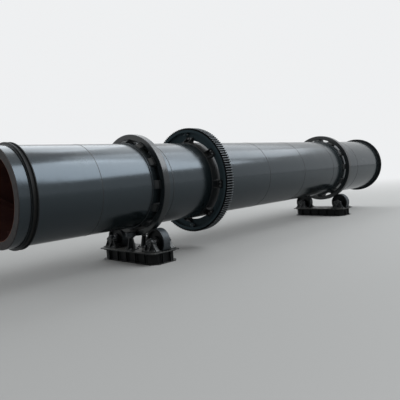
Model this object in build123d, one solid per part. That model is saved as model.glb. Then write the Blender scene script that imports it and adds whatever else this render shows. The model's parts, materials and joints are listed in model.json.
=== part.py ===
"""Rotary drum dryer on two roller stations, in millimetres.

The drum lies along X with its feed end at -X. The ground is Z = 0 and the
origin is on the ground under the middle of the drum. Places along the drum
are stations, measured from the feed end. Angles round the drum are counted
from its top towards -Y.
"""
import os
from math import acos, atan2, cos, hypot, pi, radians, sin, sqrt, tan

from build123d import *

# Drum shell, rolled from plates and welded end to end
shell_length = 12000.0
shell_inner_radius = 750.0
shell_wall = 14.0
end_ring_thickness = 14.0
first_seam_station = 1350.0
course_length = 1500.0
course_count = 8

# Retaining ring across the feed end, and the seal rings at both ends
retaining_ring_depth = 114.0
feed_seal_station = 192.0
feed_seal_depth = 42.0
discharge_seal_inset = 150.0
discharge_seal_depth = 69.0
seal_ring_width = 84.0
seal_flange_thickness = 16.0
seal_band_height = 20.0

# Riding tyres, on pads that stand on a band round the shell
feed_tyre_station = 2540.0
discharge_tyre_inset = 2500.0
tyre_thickness = 110.0
tyre_width = 130.0
tyre_edge_chamfer = 8.0
tyre_seat_gap = 0.3
tyre_band_thickness = 14.0
tyre_band_width = 380.0
pad_count = 12
pad_angle = 10.0
pad_height = 43.7
pad_length = 320.0
pad_end_height = 16.0
stop_thickness = 30.0
stop_height = 22.0
stop_side_gap = 0.3

# Girth gear, in two halves bolted to brackets on a ring round the shell
gear_station = 4060.0
gear_module = 16.0
gear_pressure_angle = 20.0
gear_pitch_depth = 292.0
gear_face_width = 200.0
gear_rim_depth = 52.0
gear_web_thickness = 36.0
gear_web_shell_gap = 52.0
gear_lug_width = 150.0
gear_lug_thickness = 32.0
gear_lug_gap = 12.0
gear_ring_thickness = 14.0
gear_ring_width = 330.0
gear_bracket_count = 8
gear_bracket_start = 7.0
gear_bracket_angle = 11.0
gear_bracket_height = 106.0
gear_bracket_plate = 26.0
gear_bracket_reach = 130.0
gear_bracket_rib_angle = 1.2
gear_bracket_toe = 18.0

# Lifting flights and spiral feed flights inside the shell
flight_thickness = 8.0
flight_height = 130.0
flight_lip = 62.0
flight_lip_angle = 50.0
flight_count = 12
bank_count = 4
first_bank_station = 1700.0
bank_gap = 100.0
last_bank_inset = 800.0
feed_flight_count = 6
feed_flight_start = 280.0
feed_flight_span = 1150.0
feed_flight_angle = 30.0
feed_flight_height = 120.0

# Support rollers on their shafts
roller_radius = 233.0
roller_width = 156.0
roller_angle = 30.0
roller_gap = 0.3
roller_rim = 42.0
roller_hub_radius = 92.0
roller_recess = 42.0
roller_edge_chamfer = 5.0
shaft_seat_radius = 55.0
shaft_journal_radius = 45.0
journal_clearance = 0.05

# Bearing pedestals: a split housing on a flanged stand
bearing_height = 160.0
bearing_gap = 62.0
bearing_depth = 70.0
bearing_cap_radius = 74.0
bearing_cap_lug = 34.0
bearing_cap_lug_height = 30.0
bearing_base_length = 344.0
bearing_flange = 16.0
bearing_web = 18.0
bearing_foot_length = 372.0
bearing_foot_width = 136.0
bearing_foot_thickness = 22.0
bearing_cover_radius = 60.0
bearing_cover_thickness = 12.0
bearing_rib_thickness = 16.0
shaft_end_gap = 3.0

# Thrust rollers, one each side of the feed tyre, on upright pins
thrust_radius = 90.0
thrust_height = 80.0
thrust_gap = 0.3
thrust_pin_radius = 26.0
thrust_float = 1.0
thrust_cap_radius = 42.0
thrust_cap_thickness = 9.0
thrust_shoulder_gap = 6.0
bracket_top_size = 96.0
bracket_foot_size = 190.0
bracket_plate = 16.0
bracket_rib = 14.0

# Base frame welded from I-beams, and its deck plate
frame_height = 195.0
beam_flange = 100.0
beam_flange_thickness = 12.0
beam_web = 10.0
cross_beam_offset = 280.0
frame_corner = 110.0
stiffener_thickness = 12.0
stiffener_spacing = 260.0
stiffener_inset = 5.0
end_stiffener_offset = 90.0
deck_thickness = 16.0
deck_overhang = 12.0
deck_corner = 34.0
base_margin_x = 77.0
base_margin_y = 32.0
window_clearance = 15.0
anchor_spacing_y = 840.0
anchor_hole_radius = 11.0

# Worked out from the sizes above
shell_radius = shell_inner_radius + shell_wall
tyre_stations = {"feed": feed_tyre_station, "discharge": shell_length - discharge_tyre_inset}
tyre_band_radius = shell_radius + tyre_band_thickness
tyre_bore_radius = tyre_band_radius + pad_height + tyre_seat_gap
tyre_outer_radius = tyre_bore_radius + tyre_thickness
roller_distance = tyre_outer_radius + roller_gap + roller_radius
roller_y = roller_distance * sin(radians(roller_angle))
deck_top = frame_height + deck_thickness
roller_z = deck_top + bearing_height
axis_height = roller_z + roller_distance * cos(radians(roller_angle))
bearing_offset = roller_width / 2 + bearing_gap + bearing_depth / 2
base_half_x = bearing_offset + bearing_foot_width / 2 + base_margin_x
base_half_y = roller_y + bearing_foot_length / 2 + base_margin_y
frame_half_x = base_half_x - deck_overhang
frame_half_y = base_half_y - deck_overhang
drum_axis = Axis((0, 0, axis_height), (1, 0, 0))
gear_teeth = 2 * round((shell_radius + gear_pitch_depth) / gear_module)
gear_pitch_radius = gear_module * gear_teeth / 2
gear_tip_radius = gear_pitch_radius + gear_module
gear_root_radius = gear_pitch_radius - 1.25 * gear_module
gear_rim_inner = gear_root_radius - gear_rim_depth
gear_web_bore = shell_radius + gear_web_shell_gap
gear_ring_radius = shell_radius + gear_ring_thickness
gear_bracket_top = gear_ring_radius + gear_bracket_height
thrust_offset = tyre_width / 2 + thrust_gap + thrust_radius
thrust_bottom = axis_height - tyre_outer_radius - thrust_gap
bracket_top = thrust_bottom - thrust_shoulder_gap


def world_x(station):
    """Place along X of a station counted from the feed end."""
    return station - shell_length / 2


def section_plane(station):
    """Cross-section of the drum, with local x along Y and local y up."""
    origin = (world_x(station), 0, axis_height)
    return Plane(origin=origin, x_dir=(0, 1, 0), z_dir=(1, 0, 0))


def ring(station, width, inner, outer):
    """Plain ring about the drum's axis, from a station towards +X."""
    outline = Circle(outer) - Circle(inner)
    return extrude(section_plane(station) * outline, width)


def turned(points, centre_x, y=0.0, z=None, arc=360):
    """Solid turned about a line along X from points (along X, radius)."""
    z = axis_height if z is None else z
    plane = Plane(origin=(centre_x, y, z), x_dir=(1, 0, 0), z_dir=(0, -1, 0))
    profile = plane * make_face(Polyline(*points, close=True))
    return revolve(profile, Axis((0, y, z), (1, 0, 0)), arc)


def around_drum(piece, count, start=0.0):
    """Copies of a piece spaced evenly about the drum's axis."""
    step = 360 / count
    return [piece.rotate(drum_axis, start + step * i) for i in range(count)]


def save(name, solids):
    """Write one node, from one solid or a list of solids."""
    shape = Compound(solids) if isinstance(solids, list) else solids
    export_step(shape, f"parts/{name}.step")


def shell_courses():
    """Shell plates between the welded seams, feed end first."""
    seams = [end_ring_thickness]
    seams += [first_seam_station + course_length * i for i in range(course_count - 1)]
    seams.append(shell_length)
    for i in range(course_count):
        plate = ring(seams[i], seams[i + 1] - seams[i], shell_inner_radius, shell_radius)
        save(f"shell_course_{i + 1}", plate)


def seal_ring(station, depth):
    """Rolled channel ring with two flanges, welded round the shell."""
    band = shell_radius + seal_band_height
    outer = shell_radius + depth
    edge = seal_flange_thickness
    points = [
        (0, shell_radius),
        (0, outer),
        (edge, outer),
        (edge, band),
        (seal_ring_width - edge, band),
        (seal_ring_width - edge, outer),
        (seal_ring_width, outer),
        (seal_ring_width, shell_radius),
    ]
    return turned(points, world_x(station))


def tyre(station):
    """Forged riding tyre with chamfered running edges."""
    half = tyre_width / 2
    cut = tyre_edge_chamfer
    points = [
        (-half, tyre_bore_radius),
        (-half, tyre_outer_radius - cut),
        (cut - half, tyre_outer_radius),
        (half - cut, tyre_outer_radius),
        (half, tyre_outer_radius - cut),
        (half, tyre_bore_radius),
    ]
    return turned(points, world_x(station))


def tyre_band(station):
    """Band round the shell that spreads the tyre's load."""
    start = station - tyre_band_width / 2
    return ring(start, tyre_band_width, shell_radius, tyre_band_radius)


def tyre_pads(station):
    """Pads between band and tyre, each with a stop block on both sides."""
    seat = tyre_bore_radius - tyre_seat_gap
    stop_in = tyre_width / 2 + stop_side_gap
    stop_out = stop_in + stop_thickness
    stop_top = tyre_bore_radius + stop_height
    end = pad_length / 2
    right = [(stop_in, seat), (stop_in, stop_top), (stop_out, stop_top), (stop_out, seat)]
    right += [(end, tyre_band_radius + pad_end_height), (end, tyre_band_radius)]
    left = [(-x, r) for x, r in reversed(right)]
    pad = turned(left + right, world_x(station), arc=pad_angle)
    return around_drum(pad, pad_count, -pad_angle / 2)


def tooth_half_angle(radius):
    """Half the angle that one involute tooth covers at a radius."""
    pressure = radians(gear_pressure_angle)
    base_radius = gear_pitch_radius * cos(pressure)
    local = acos(base_radius / radius)
    return pi / (2 * gear_teeth) + (tan(pressure) - pressure) - (tan(local) - local)


def polar(radius, angle):
    """Point in a cross-section from a radius and an angle in radians."""
    return (radius * cos(angle), radius * sin(angle))


def gear_half(start):
    """Half of the girth gear, split through the space between two teeth."""
    half_teeth = gear_teeth // 2
    pitch = 2 * pi / gear_teeth
    depth = gear_tip_radius - gear_root_radius
    radii = [gear_root_radius + depth * share for share in (0.0, 0.36, 0.72, 1.0)]
    outline = [polar(gear_root_radius, start)]
    for i in range(half_teeth):
        middle = start + pitch * (i + 0.5)
        outline += [polar(r, middle - tooth_half_angle(r)) for r in radii]
        outline += [polar(r, middle + tooth_half_angle(r)) for r in reversed(radii)]
    finish = start + pitch * half_teeth
    outline.append(polar(gear_root_radius, finish))
    inner_start = polar(gear_rim_inner, start)
    inner_middle = polar(gear_rim_inner, (start + finish) / 2)
    inner_finish = polar(gear_rim_inner, finish)
    edges = [
        Polyline(*outline),
        Line(outline[-1], inner_finish),
        ThreePointArc(inner_finish, inner_middle, inner_start),
        Line(inner_start, outline[0]),
    ]
    face_start = gear_station - gear_face_width / 2
    rim = extrude(section_plane(face_start) * make_face(edges), gear_face_width)

    web_start = gear_station - gear_web_thickness / 2
    rim_middle = gear_rim_inner + gear_rim_depth / 2
    web = ring(web_start, gear_web_thickness, gear_web_bore, rim_middle)
    lug_start = gear_station - gear_lug_width / 2
    lug = ring(lug_start, gear_lug_width, gear_bracket_top + gear_lug_gap, rim_middle)

    side = 1 if cos(start + pi / 2) > 0 else -1
    keep = gear_tip_radius * 2
    half_space = section_plane(face_start) * Pos(side * keep / 2, 0) * Rectangle(keep, 2 * keep)
    half_box = extrude(half_space, gear_face_width)
    strip_face = Pos(side * gear_lug_thickness / 2, 0) * Rectangle(gear_lug_thickness, 2 * keep)
    strip = extrude(section_plane(lug_start) * strip_face, gear_lug_width)
    return rim + (web & half_box) + (lug & strip)


def gear_mounting_ring():
    """Ring on the shell with ribbed brackets that the gear's web bolts to."""
    face = gear_station - gear_web_thickness / 2
    mounting = ring(face - gear_ring_width / 2, gear_ring_width, shell_radius, gear_ring_radius)
    seat = (shell_radius + gear_ring_radius) / 2
    back = -gear_bracket_plate
    toe = back - gear_bracket_reach
    front = [(0, gear_bracket_top), (0, seat)]
    flange = [(back, seat), (back, gear_bracket_top)] + front
    rib = [(toe, seat), (toe, gear_ring_radius + gear_bracket_toe), (back, gear_bracket_top)] + front
    plates = turned(flange, world_x(face), arc=gear_bracket_angle)
    for turn in (0.0, gear_bracket_angle - gear_bracket_rib_angle):
        plates += turned(rib, world_x(face), arc=gear_bracket_rib_angle).rotate(drum_axis, turn)
    first = gear_bracket_start - gear_bracket_angle / 2
    for bracket in around_drum(plates, gear_bracket_count, first):
        mounting += bracket
    return mounting


def lifting_bank(station, length, turn):
    """One bank of straight lifting flights with bent lips."""
    half = flight_thickness / 2
    foot = sqrt(shell_inner_radius**2 - half**2)
    bend = foot - flight_height
    lean = radians(flight_lip_angle)
    dx = flight_lip * sin(lean)
    dy = flight_lip * cos(lean)
    nx = flight_thickness * cos(lean)
    ny = flight_thickness * sin(lean)
    points = [
        (-half, foot),
        (half, foot),
        (half, bend),
        (half + dx, bend - dy),
        (half + dx - nx, bend - dy - ny),
        (-half, bend - flight_thickness * tan(lean / 2)),
    ]
    face = make_face(Polyline(*points, close=True))
    blade = extrude(section_plane(station) * face, length)
    return around_drum(blade, flight_count, turn)


def lifting_banks():
    """Banks along the drum, each turned half a step from the one before."""
    pitch = (shell_length - last_bank_inset + bank_gap - first_bank_station) / bank_count
    for i in range(bank_count):
        station = first_bank_station + pitch * i
        turn = i * 180 / flight_count
        save(f"lifting_flights_{i + 1}", lifting_bank(station, pitch - bank_gap, turn))


def feed_flights():
    """Slanting feed flights that carry the charge in from the mouth."""
    reach = feed_flight_span / cos(radians(feed_flight_angle))
    middle = feed_flight_start + feed_flight_span / 2
    blade = Box(reach, flight_thickness, shell_inner_radius)
    blade = Pos(0, 0, shell_inner_radius / 2) * blade
    blade = Pos(world_x(middle), 0, axis_height) * Rot(0, 0, feed_flight_angle) * blade
    start = feed_flight_start - flight_thickness
    span = feed_flight_span + 2 * flight_thickness
    inner = shell_inner_radius - feed_flight_height
    blade = blade & ring(start, span, inner, shell_inner_radius)
    return around_drum(blade, feed_flight_count)


def support_roller(x, y):
    """Support roller with recessed faces, bored for its shaft."""
    half = roller_width / 2
    cut = roller_edge_chamfer
    rim = roller_radius - roller_rim
    web = half - roller_recess
    right = [
        (half, shaft_seat_radius),
        (half, roller_hub_radius),
        (web, roller_hub_radius),
        (web, rim),
        (half, rim),
        (half, roller_radius - cut),
        (half - cut, roller_radius),
    ]
    left = [(-px, r) for px, r in reversed(right)]
    return turned(right + left, x, y, roller_z)


def roller_shaft(x, y):
    """Stepped shaft: a thick middle in the roller and a journal each end."""
    shoulder = roller_width / 2 + bearing_gap / 2
    end = bearing_offset + bearing_depth / 2 - shaft_end_gap
    points = [
        (-end, 0),
        (-end, shaft_journal_radius),
        (-shoulder, shaft_journal_radius),
        (-shoulder, shaft_seat_radius),
        (shoulder, shaft_seat_radius),
        (shoulder, shaft_journal_radius),
        (end, shaft_journal_radius),
        (end, 0),
    ]
    return turned(points, x, y, roller_z)


def bearing_pedestal(tyre_x, y, side):
    """Split bearing housing on an A-shaped stand, covered on the outside."""
    inner_x = tyre_x + side * (bearing_offset - bearing_depth / 2)
    plane = Plane(origin=(inner_x, y, roller_z), x_dir=(0, side, 0), z_dir=(side, 0, 0))
    foot_z = deck_top + bearing_foot_thickness - roller_z
    half = bearing_base_length / 2
    reach = hypot(half, foot_z)
    tangent = atan2(foot_z, half) + acos(bearing_cap_radius / reach)
    shoulder = polar(bearing_cap_radius, tangent)
    points = [(-half, foot_z), (half, foot_z), shoulder, (-shoulder[0], shoulder[1])]
    taper = make_face(Polyline(*points, close=True))
    lugs = Rectangle(2 * (bearing_cap_radius + bearing_cap_lug), bearing_cap_lug_height)
    body = extrude(plane * (taper + Circle(bearing_cap_radius) + lugs), bearing_depth)
    hollow = offset(taper, -bearing_flange, kind=Kind.INTERSECTION)
    hollow -= Circle(bearing_cap_radius)
    hollow -= lugs
    pocket = extrude(plane * hollow, (bearing_depth - bearing_web) / 2)
    body -= pocket
    body -= Pos(side * (bearing_depth + bearing_web) / 2, 0, 0) * pocket
    cover = extrude(plane * Circle(bearing_cover_radius), bearing_depth + bearing_cover_thickness)
    bore = extrude(plane * Circle(shaft_journal_radius + journal_clearance), bearing_depth)

    foot = Box(bearing_foot_width, bearing_foot_length, bearing_foot_thickness)
    foot_x = tyre_x + side * bearing_offset
    foot = Pos(foot_x, y, deck_top + bearing_foot_thickness / 2) * foot
    outer_x = side * (bearing_offset + bearing_depth / 2)
    toe_x = side * (bearing_offset + bearing_foot_width / 2)
    rib_top = -bearing_cover_radius
    rib_plane = Plane(origin=(tyre_x, y, roller_z), x_dir=(1, 0, 0), z_dir=(0, -1, 0))
    middle_x = side * bearing_offset
    rib_points = [(middle_x, rib_top), (middle_x, foot_z), (toe_x, foot_z), (outer_x, rib_top)]
    rib_face = make_face(Polyline(*rib_points, close=True))
    rib = extrude(rib_plane * rib_face, bearing_rib_thickness / 2, both=True)
    return (body + cover + foot + rib) - bore


def thrust_bracket(tyre_x, side):
    """Tapered stand with an upright pin and cap for one thrust roller."""
    x = tyre_x + side * thrust_offset
    plate = Box(bracket_foot_size, bracket_foot_size, bracket_plate)
    plate = Pos(x, 0, deck_top + bracket_plate / 2) * plate
    head_z = bracket_top - bracket_plate / 2
    head = Pos(x, 0, head_z) * Box(bracket_top_size, bracket_top_size, bracket_plate)
    low = deck_top + bracket_plate
    high = bracket_top - bracket_plate
    foot_half = bracket_foot_size / 2
    head_half = bracket_top_size / 2
    points = [(-foot_half, low), (foot_half, low), (head_half, high), (-head_half, high)]
    face = make_face(Polyline(*points, close=True))
    along = Plane(origin=(x, 0, 0), x_dir=(1, 0, 0), z_dir=(0, -1, 0))
    across = Plane(origin=(x, 0, 0), x_dir=(0, 1, 0), z_dir=(1, 0, 0))
    ribs = extrude(along * face, bracket_rib / 2, both=True)
    ribs += extrude(across * face, bracket_rib / 2, both=True)
    shoulder = Cylinder(thrust_cap_radius, thrust_shoulder_gap - thrust_float)
    shoulder = Pos(x, 0, bracket_top + (thrust_shoulder_gap - thrust_float) / 2) * shoulder
    pin_top = thrust_bottom + thrust_height + thrust_float
    pin = Pos(x, 0, (bracket_top + pin_top) / 2) * Cylinder(thrust_pin_radius, pin_top - bracket_top)
    cap = Pos(x, 0, pin_top + thrust_cap_thickness / 2) * Cylinder(thrust_cap_radius, thrust_cap_thickness)
    return plate + head + ribs + shoulder + pin + cap


def thrust_roller(tyre_x, side):
    """Thrust roller that runs on its pin against the tyre's side."""
    x = tyre_x + side * thrust_offset
    body = Cylinder(thrust_radius, thrust_height)
    bore = Cylinder(thrust_pin_radius + journal_clearance, thrust_height)
    return Pos(x, 0, thrust_bottom + thrust_height / 2) * (body - bore)


def frame_outline(inset):
    """Plan of the base frame with cut corners, drawn in by an inset."""
    outline = Rectangle(2 * frame_half_x, 2 * frame_half_y)
    outline = chamfer(outline.vertices(), frame_corner)
    return offset(outline, -inset, kind=Kind.INTERSECTION) if inset else outline


def i_beam(length):
    """I-beam along X, standing on the ground, centred on the origin."""
    half = beam_flange / 2
    web = beam_web / 2
    low = beam_flange_thickness
    high = frame_height - beam_flange_thickness
    right = [(half, 0), (half, low), (web, low), (web, high), (half, high), (half, frame_height)]
    left = [(-y, z) for y, z in reversed(right)]
    face = make_face(Polyline(*(right + left), close=True))
    return extrude(Plane.YZ * face, length / 2, both=True)


def edge_stiffeners():
    """Upright plates between the flanges, outside the edge beams' webs."""
    depth = beam_flange / 2 - stiffener_inset
    height = frame_height - 2 * beam_flange_thickness
    side_plate = Box(depth, stiffener_thickness, height)
    end_plate = Box(stiffener_thickness, depth, height)
    x = frame_half_x - stiffener_inset - depth / 2
    y = frame_half_y - stiffener_inset - depth / 2
    z = frame_height / 2
    steps = int((frame_half_y - frame_corner) / stiffener_spacing)
    plates = []
    for side in (-1, 1):
        for i in range(-steps, steps + 1):
            plates.append(Pos(side * x, i * stiffener_spacing, z) * side_plate)
        for place in (-end_stiffener_offset, end_stiffener_offset):
            plates.append(Pos(place, side * y, z) * end_plate)
    return plates


def roller_notches(tyre_x):
    """Spaces that the support rollers need in the top of the frame."""
    width = roller_width + 2 * window_clearance
    notch = Rot(0, 90, 0) * Cylinder(roller_radius + window_clearance, width)
    return [Pos(tyre_x, side * roller_y, roller_z) * notch for side in (-1, 1)]


def base_frame(tyre_x):
    """I-beams round the edge, under the bearings and across."""
    outline = frame_outline(0)
    flange = extrude(outline - frame_outline(beam_flange), beam_flange_thickness)
    web_out = (beam_flange - beam_web) / 2
    frame = extrude(frame_outline(web_out) - frame_outline(web_out + beam_web), frame_height)
    frame += flange
    frame += Pos(0, 0, frame_height - beam_flange_thickness) * flange
    bearer = Rot(0, 0, 90) * i_beam(2 * frame_half_y - beam_flange)
    cross_beam = i_beam(2 * frame_half_x - beam_flange)
    for side in (-1, 1):
        frame += Pos(side * bearing_offset, 0, 0) * bearer
        frame += Pos(0, side * cross_beam_offset, 0) * cross_beam
    for plate in edge_stiffeners():
        frame += plate
    frame = Pos(tyre_x, 0, 0) * frame
    for notch in roller_notches(tyre_x):
        frame -= notch
    hole = Cylinder(anchor_hole_radius, 4 * beam_flange_thickness)
    anchor_x = frame_half_x - web_out / 2
    for sx in (-1, 1):
        for sy in (-1, 1):
            frame -= Pos(tyre_x + sx * anchor_x, sy * anchor_spacing_y / 2, 0) * hole
    return frame


def deck_plate(tyre_x):
    """Deck plate over the frame, with a window where each roller dips in."""
    outline = Rectangle(2 * base_half_x, 2 * base_half_y)
    outline = chamfer(outline.vertices(), deck_corner)
    deck = Pos(tyre_x, 0, frame_height) * extrude(outline, deck_thickness)
    width = roller_width + 2 * window_clearance
    reach = sqrt((roller_radius + window_clearance)**2 - bearing_height**2)
    window = Box(width, 2 * reach, 4 * deck_thickness)
    for side in (-1, 1):
        deck -= Pos(tyre_x, side * roller_y, deck_top) * window
    return deck


def drum():
    """Everything that turns about the drum's axis."""
    shell_courses()
    retaining_bore = shell_inner_radius - retaining_ring_depth
    save("feed_retaining_ring", ring(0, end_ring_thickness, retaining_bore, shell_radius))
    save("feed_seal_ring", seal_ring(feed_seal_station, feed_seal_depth))
    save("discharge_seal_ring", seal_ring(shell_length - discharge_seal_inset, discharge_seal_depth))
    for end, station in tyre_stations.items():
        save(f"{end}_tyre", tyre(station))
        save(f"{end}_tyre_band", tyre_band(station))
        save(f"{end}_tyre_pads", tyre_pads(station))
    save("girth_gear_front_half", gear_half(pi / 2))
    save("girth_gear_rear_half", gear_half(-pi / 2))
    save("girth_gear_mounting_ring", gear_mounting_ring())
    save("feed_flights", feed_flights())
    lifting_banks()


def station(end):
    """One support station under a tyre."""
    tyre_x = world_x(tyre_stations[end])
    save(f"{end}_base_frame", base_frame(tyre_x))
    save(f"{end}_deck_plate", deck_plate(tyre_x))
    for name, side in (("front", -1), ("rear", 1)):
        y = side * roller_y
        pedestals = [bearing_pedestal(tyre_x, y, s) for s in (-1, 1)]
        save(f"{end}_{name}_bearings", pedestals)
        save(f"{end}_{name}_roller", support_roller(tyre_x, y))
        save(f"{end}_{name}_shaft", roller_shaft(tyre_x, y))


def thrust_rollers(end):
    """Thrust rollers and their stands, at the one station that has them."""
    tyre_x = world_x(tyre_stations[end])
    save(f"{end}_thrust_brackets", [thrust_bracket(tyre_x, s) for s in (-1, 1)])
    save(f"{end}_thrust_roller_left", thrust_roller(tyre_x, -1))
    save(f"{end}_thrust_roller_right", thrust_roller(tyre_x, 1))


os.makedirs("parts", exist_ok=True)
drum()
for end_name in tyre_stations:
    station(end_name)
thrust_rollers("feed")
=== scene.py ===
"""Rotary drum dryer: turned shells, bevelled plates, welds, fasteners, paint, light and camera.

All lengths are in metres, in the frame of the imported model: +X runs along the
drum from the feed end, +Z is up and the ground is Z = 0.
"""

import json
import math

import bmesh
import bpy
from mathutils import Matrix, Vector


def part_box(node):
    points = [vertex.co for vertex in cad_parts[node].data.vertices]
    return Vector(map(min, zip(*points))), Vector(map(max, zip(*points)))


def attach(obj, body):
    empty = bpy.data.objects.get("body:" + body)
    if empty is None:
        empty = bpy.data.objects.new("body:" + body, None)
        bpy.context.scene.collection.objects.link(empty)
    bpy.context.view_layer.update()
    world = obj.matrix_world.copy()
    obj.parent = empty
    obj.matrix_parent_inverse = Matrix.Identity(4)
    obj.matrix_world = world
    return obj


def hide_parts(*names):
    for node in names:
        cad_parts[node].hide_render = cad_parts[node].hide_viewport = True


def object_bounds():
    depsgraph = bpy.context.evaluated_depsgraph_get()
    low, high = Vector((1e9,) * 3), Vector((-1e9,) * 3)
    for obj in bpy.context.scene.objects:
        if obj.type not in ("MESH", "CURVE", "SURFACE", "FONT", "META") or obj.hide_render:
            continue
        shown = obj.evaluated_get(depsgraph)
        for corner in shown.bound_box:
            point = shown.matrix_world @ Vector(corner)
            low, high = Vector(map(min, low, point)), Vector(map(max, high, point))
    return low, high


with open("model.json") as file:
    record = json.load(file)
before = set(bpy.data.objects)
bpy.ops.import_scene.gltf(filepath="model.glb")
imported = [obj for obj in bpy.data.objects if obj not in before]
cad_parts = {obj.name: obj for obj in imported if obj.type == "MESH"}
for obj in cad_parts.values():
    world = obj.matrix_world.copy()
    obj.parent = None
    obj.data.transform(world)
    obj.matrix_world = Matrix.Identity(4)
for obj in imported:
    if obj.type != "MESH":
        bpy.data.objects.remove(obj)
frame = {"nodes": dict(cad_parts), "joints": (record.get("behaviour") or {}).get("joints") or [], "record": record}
cad_low, cad_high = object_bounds()

# Image and camera, placed by the drum's outline in the photograph
IMAGE_SIZE = 400
FOCAL_PIXELS = 454.6
SENSOR_WIDTH = 36.0
CAMERA_PLACE = (-8.698, -6.693, 1.586)
CAMERA_TURN = 43.78
CAMERA_PITCH = -3.83
CAMERA_ROLL = -4.02

# Places that the frame gives
JOINTS = {joint["name"]: joint for joint in frame["joints"]}
BODIES = frame["record"]["behaviour"]["bodies"]
BODY_OF = {node: body for body, nodes in BODIES.items() for node in nodes}
SLOT_OF = {part["node"]: part["material_slot"] for part in frame["record"]["subparts"]}
AXIS = Vector(JOINTS["drum_spin"]["pos_m"])
ENDS = ("feed", "discharge")
SIDES = ("front", "rear")
RINGS_ON_SHELL = [end + ring for ring in ("_seal_ring", "_tyre_band") for end in ENDS]
RINGS_ON_SHELL.append("girth_gear_mounting_ring")
THRUST_ROLLERS = sorted(node for node in frame["nodes"] if "thrust_roller" in node)

# Sizes that repeat the construction
SHELL_INNER = 0.750
SHELL_OUTER = 0.764
SEAM_START = 1.350
SEAM_PITCH = 1.500
SEAM_COUNT = 7
SEAL_BAND = 0.020
SEAL_FLANGE = 0.016
TYRE_BORE = 0.822
ROLLER_RIM = 0.042
ROLLER_HUB = 0.092
ROLLER_RECESS = 0.042
ROLLER_DRAFT = 0.006
RUNNING_EDGE = 0.004
SHAFT_SEAT = 0.055
SHAFT_JOURNAL = 0.045
SHAFT_SHOULDER = 0.109
THRUST_BORE = 0.026
BEARING_OFFSET = 0.175
BEARING_FOOT = 0.022
BEARING_CAP = 0.074
STAND_HALF_DEPTH = 0.035
STAND_HALF_LENGTH = 0.172
THRUST_FOOT = 0.016
THRUST_HALF_FOOT = 0.095
THRUST_HALF_RIB = 0.007
FRAME_CORNER = 0.110
FRAME_FLANGE = 0.012
FRAME_WEB_DEPTH = 0.045
STIFFENER_INSET = 0.005
STIFFENER_HALF = 0.006
STIFFENER_STEPS = (-0.52, -0.26, 0.0, 0.26, 0.52)
END_STIFFENER_STEPS = (-0.09, 0.09)
RETAINING_BORE = 0.636
GEAR_WEB = 0.036
GEAR_PLATE = 0.026
GEAR_BRACKETS = 8
GEAR_BRACKET_START = 7.0
GEAR_BRACKET_ANGLE = 11.0
GEAR_BRACKET_REACH = 0.130
GEAR_RIB_ANGLE = 1.2
GEAR_RING = 0.778
GEAR_BOLT_CIRCLE = 0.850
GEAR_LUG = 0.032
PAD_COUNT = 12
PAD_ANGLE = 10.0

# Places and sizes of welds and fasteners
SEAM_SINK = 0.005
SEAM_MARGIN = 0.020
SEAM_BEAD = 0.0085
FILLET_BEAD = 0.006
SUPPORT_BEAD = 0.0045
LONG_SEAM_ANGLES = (205.0, 284.0, 223.0, 275.0, 214.0, 293.0, 205.0, 284.0)
BRACKET_BOLT_ANGLE = 2.3
LUG_BOLT_HEIGHT = 0.940
LUG_BOLT_OFFSET = 0.048
FOOT_BOLTS = (0.0515, 0.135)
CAP_BOLTS = (0.0175, 0.091)
CAP_FLANGE = 0.015
COVER_BOLTS = 6
COVER_BOLT_CIRCLE = 0.048
COVER_BOLT_START = 30.0
THRUST_BOLTS = 0.072
NIPPLE_SINK = 0.0006
HOOP_STEP = 2.0
PAD_HOOP_STEP = 1.0
BRACKET_HOOP_STEP = 1.1
SEAM_STEPS = 40
PAD_STEPS = 12
BRACKET_STEPS = 10
BEAD_SIDES = 6
LUMP_SCALE = 22.0
WASHER_SIDES = 20
HEAD_SIDES = 6
STUD_SIDES = 12
# depth, upper radius and lower radius of a head's chamfer, as shares of its width across flats
CHAMFER_SHARES = (0.07, 0.43, 0.50)
GEAR_BOLT_SIZE = 1.3
STAND_BOLT_SIZE = 0.8
PIN_BOLT_SIZE = 0.7
SMALL_BOLT_SIZE = 0.42

# Rounding of edges
SHELL_ROUND = 0.0012
RING_ROUND = 0.002
MOUTH_ROUND = 0.003
TYRE_ROUND = 0.009
ROLLER_ROUND = 0.005
PLATE_ROUND = 0.0015
CASTING_ROUND = 0.004
TOOTH_ROUND = 0.0012
FLIGHT_ROUND = 0.001

# Spans over which one finish gives way to the next: radii from the drum's axis, then places on it
MOUTH_EDGE = (0.648, 0.656)
GEAR_ROOT = (1.030, 1.037)
GEAR_CREST = (1.066, 1.071)
RUBBED_ALONG = (4.45, 5.05)
RUBBED_UP = (1.44, 1.58)

# Facets round turned pieces, and the angles past which an edge is sharp
DRUM_FACETS = 256
ROLLER_FACETS = 160
THRUST_FACETS = 96
SHAFT_FACETS = 64
TURNED_SHARP = math.radians(40)
PLATE_SHARP = math.radians(35)

# Rules for turned outlines and for joining the facets of plates
CORNER_SHARE = 0.45
LONG_RUN = 6
GUARD_STEP = 2
NEARLY_STRAIGHT = math.radians(170)
TURNED_MERGE = 1e-6
PLATE_MERGE = 1e-5
FLAT_ANGLE = math.radians(0.5)


def middle(node):
    """Centre of a node's box."""
    low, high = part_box(node)
    return (low + high) / 2


def reach(node):
    """Radius of a node about the drum's axis."""
    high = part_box(node)[1]
    return max(high.z - AXIS.z, high.y)


# Node trees for materials

COLOUR = "NodeSocketColor"
VALUE = "NodeSocketFloat"
SHAPE = "NodeSocketGeometry"


def empty_group(name, kind, inputs, outputs):
    """Empty node group with its named sockets, and its two end nodes."""
    tree = bpy.data.node_groups.new(name, kind)
    for direction, sockets in (("INPUT", inputs), ("OUTPUT", outputs)):
        for label, sort, *default in sockets:
            socket = tree.interface.new_socket(name=label, in_out=direction, socket_type=sort)
            if default:
                socket.default_value = default[0]
    return tree, tree.nodes.new("NodeGroupInput"), tree.nodes.new("NodeGroupOutput")


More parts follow.
